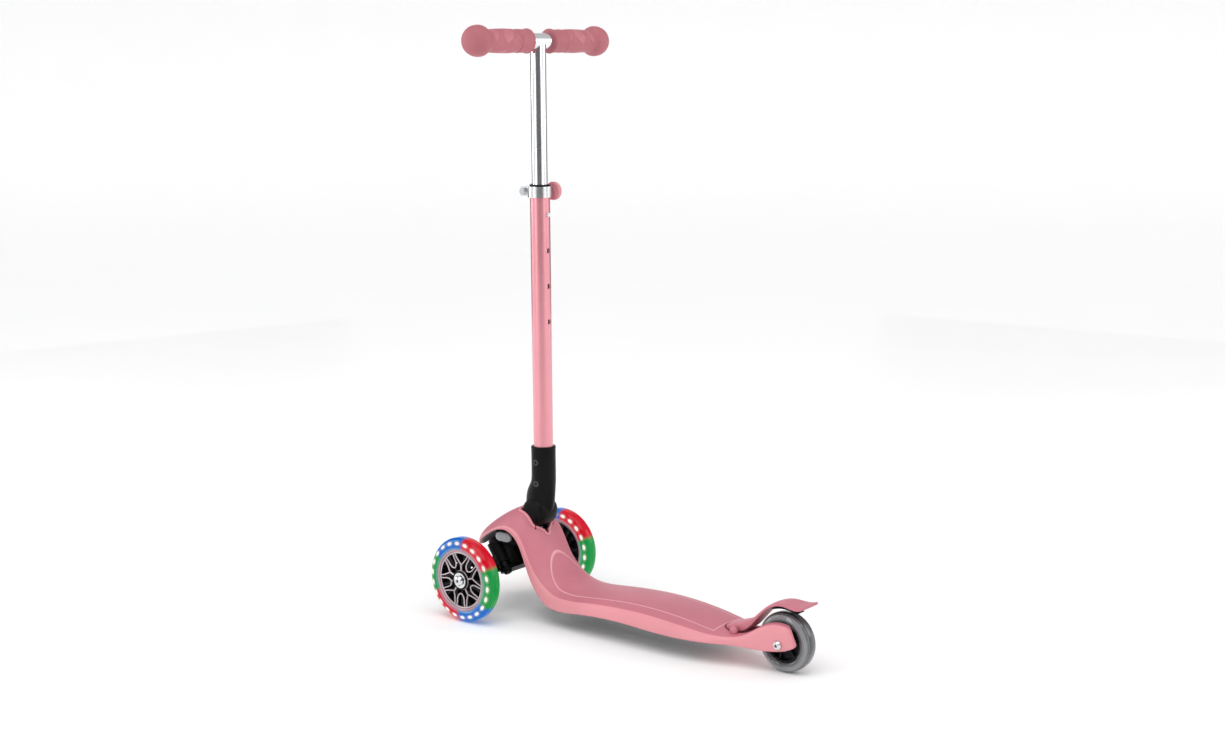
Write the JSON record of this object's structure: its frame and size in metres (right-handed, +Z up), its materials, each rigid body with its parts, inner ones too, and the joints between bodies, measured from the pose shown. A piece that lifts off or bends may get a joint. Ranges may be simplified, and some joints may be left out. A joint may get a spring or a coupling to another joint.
{
  "type": "three-wheel kick scooter",
  "caption": "Child's folding kick scooter: two lit front wheels that lean to steer, arched deck, rear foot brake, sliding T-bar on a folding upright.",
  "frame": {"origin": "on the ground under the middle of the overall box, on the scooter's middle plane", "axes": "+X forward, the way it is ridden; +Y the rider's left; +Z up along the upright"},
  "size_m": [0.5774, 0.278, 0.8302],
  "materials": {
    "pink_body": "satin, fine grain",
    "pink_top": "matt, fine grain",
    "pink_paint": "satin powder coat",
    "pink_rubber": "matt",
    "black_plastic": "satin, moulded",
    "chrome": "polished",
    "steel": "zinc plated",
    "aluminium": "satin",
    "bronze": "plain",
    "clear_tyre": "translucent, lit from within",
    "smoky_tyre": "translucent smoke grey",
    "light_window": "glowing",
    "grey_plastic": "satin"
  },
  "bodies": {
    "deck": {"deck_shell": "pink_body", "deck_top_panel": "pink_top", "under_tray": "black_plastic", "tray_screws": "steel", "front_chassis": "black_plastic", "fold_bracket": "steel", "fold_pin": "steel", "kingpins": "steel", "kingpin_nuts": "steel", "centring_springs": "steel", "chassis_screws": "steel", "rear_axle_bolt": "chrome", "rear_axle_nut": "steel", "rear_spacers": "steel", "brake_pin": "steel", "brake_spring": "steel"},
    "knuckle_left": {"knuckle_left": "black_plastic", "knuckle_bush_left": "bronze", "axle_bolt_left": "chrome", "magnet_core_left": "steel"},
    "knuckle_right": {"knuckle_right": "black_plastic", "knuckle_bush_right": "bronze", "axle_bolt_right": "chrome", "magnet_core_right": "steel"},
    "tie_rod": {"tie_rod": "steel", "tie_rod_pins": "steel"},
    "front_wheel_left": {"wheel_hub_left": "black_plastic", "rim_ring_left": "grey_plastic", "tyre_left": "clear_tyre", "light_windows_left": "light_window", "bearings_left": "steel"},
    "front_wheel_right": {"wheel_hub_right": "black_plastic", "rim_ring_right": "grey_plastic", "tyre_right": "clear_tyre", "light_windows_right": "light_window", "bearings_right": "steel"},
    "rear_wheel": {"rear_hub": "black_plastic", "rear_tyre": "smoky_tyre", "rear_bearings": "steel"},
    "brake": {"brake_fender": "pink_body", "brake_pad": "steel"},
    "lower_upright": {"lower_tube": "pink_paint", "hinge_housing": "black_plastic", "housing_screws": "steel", "top_bush": "black_plastic", "clamp_collar": "aluminium", "clamp_bolt": "steel", "clamp_nut": "steel"},
    "clamp_lever": {"clamp_lever": "pink_body", "lever_pin": "steel"},
    "upper_upright": {"upper_tube": "chrome", "crossbar": "chrome", "guide_sleeve": "black_plastic", "grip_left": "pink_rubber", "grip_right": "pink_rubber", "button_spring": "steel"},
    "height_button": {"height_button": "chrome"},
    "fold_button": {"fold_button": "grey_plastic"},
    "latch": {"latch_pin": "steel"},
    "steer_lock": {"steer_lock_button": "grey_plastic"}
  },
  "joints": [
    {"name": "steer_left", "type": "hinge", "parent": "deck", "child": "knuckle_left", "pos_m": [0.22525, 0.034, 0.078], "axis": [0.5736, 0, 0.8192], "range_deg": [-18, 18], "stiffness_Nm_per_rad": 25},
    {"name": "steer_right", "type": "hinge", "parent": "deck", "child": "knuckle_right", "pos_m": [0.22525, -0.034, 0.078], "axis": [0.5736, 0, 0.8192], "range_deg": [-18, 18], "stiffness_Nm_per_rad": 25},
    {"name": "tie_rod_pivot", "type": "hinge", "parent": "knuckle_left", "child": "tie_rod", "pos_m": [0.24655, 0.034, 0.06309], "axis": [0.5736, 0, 0.8192], "range_deg": [-18, 18]},
    {"name": "front_left_spin", "type": "hinge", "parent": "knuckle_left", "child": "front_wheel_left", "pos_m": [0.22825, 0.1045, 0.0605], "axis": [0, 1, 0], "continuous": true},
    {"name": "front_right_spin", "type": "hinge", "parent": "knuckle_right", "child": "front_wheel_right", "pos_m": [0.22825, -0.1045, 0.0605], "axis": [0, 1, 0], "continuous": true},
    {"name": "rear_spin", "type": "hinge", "parent": "deck", "child": "rear_wheel", "pos_m": [-0.24875, 0, 0.04], "axis": [0, 1, 0], "continuous": true},
    {"name": "brake_press", "type": "hinge", "parent": "deck", "child": "brake", "pos_m": [-0.17875, 0, 0.046], "axis": [0, 1, 0], "range_deg": [-2.8, 0], "stiffness_Nm_per_rad": 2, "springref_deg": 8.59},
    {"name": "fold", "type": "hinge", "parent": "deck", "child": "lower_upright", "pos_m": [0.17825, 0, 0.147], "axis": [0, 1, 0], "range_deg": [-90, 0]},
    {"name": "clamp_lever_swing", "type": "hinge", "parent": "lower_upright", "child": "clamp_lever", "pos_m": [0.19225, -0.014, 0.6035], "axis": [0, 0, 1], "range_deg": [0, 110]},
    {"name": "height", "type": "slide", "parent": "lower_upright", "child": "upper_upright", "axis": [0, 0, 1], "range_m": [-0.15, 0], "deforming": ["height_button"]},
    {"name": "height_button_press", "type": "slide", "parent": "upper_upright", "child": "height_button", "axis": [1, 0, 0], "range_m": [0, 0.005], "stiffness_N_per_m": 900, "springref_m": -0.002, "deforming": ["button_spring"]},
    {"name": "fold_button_press", "type": "slide", "parent": "deck", "child": "fold_button", "axis": [0, -1, 0], "range_m": [0, 0.004], "stiffness_N_per_m": 800, "springref_m": -0.002},
    {"name": "latch_draw", "type": "slide", "parent": "deck", "child": "latch", "axis": [0, 0, -1], "range_m": [0, 0.004], "stiffness_N_per_m": 300, "springref_m": -0.002},
    {"name": "steer_lock_slide", "type": "slide", "parent": "deck", "child": "steer_lock", "axis": [0, 1, 0], "range_m": [0, 0.0035]}
  ],
  "couplings": [
    {"joint": "steer_right", "follows": "steer_left", "ratio": 1},
    {"joint": "tie_rod_pivot", "follows": "steer_left", "ratio": -1},
    {"joint": "latch_draw", "follows": "fold_button_press", "ratio": 1}
  ]
}
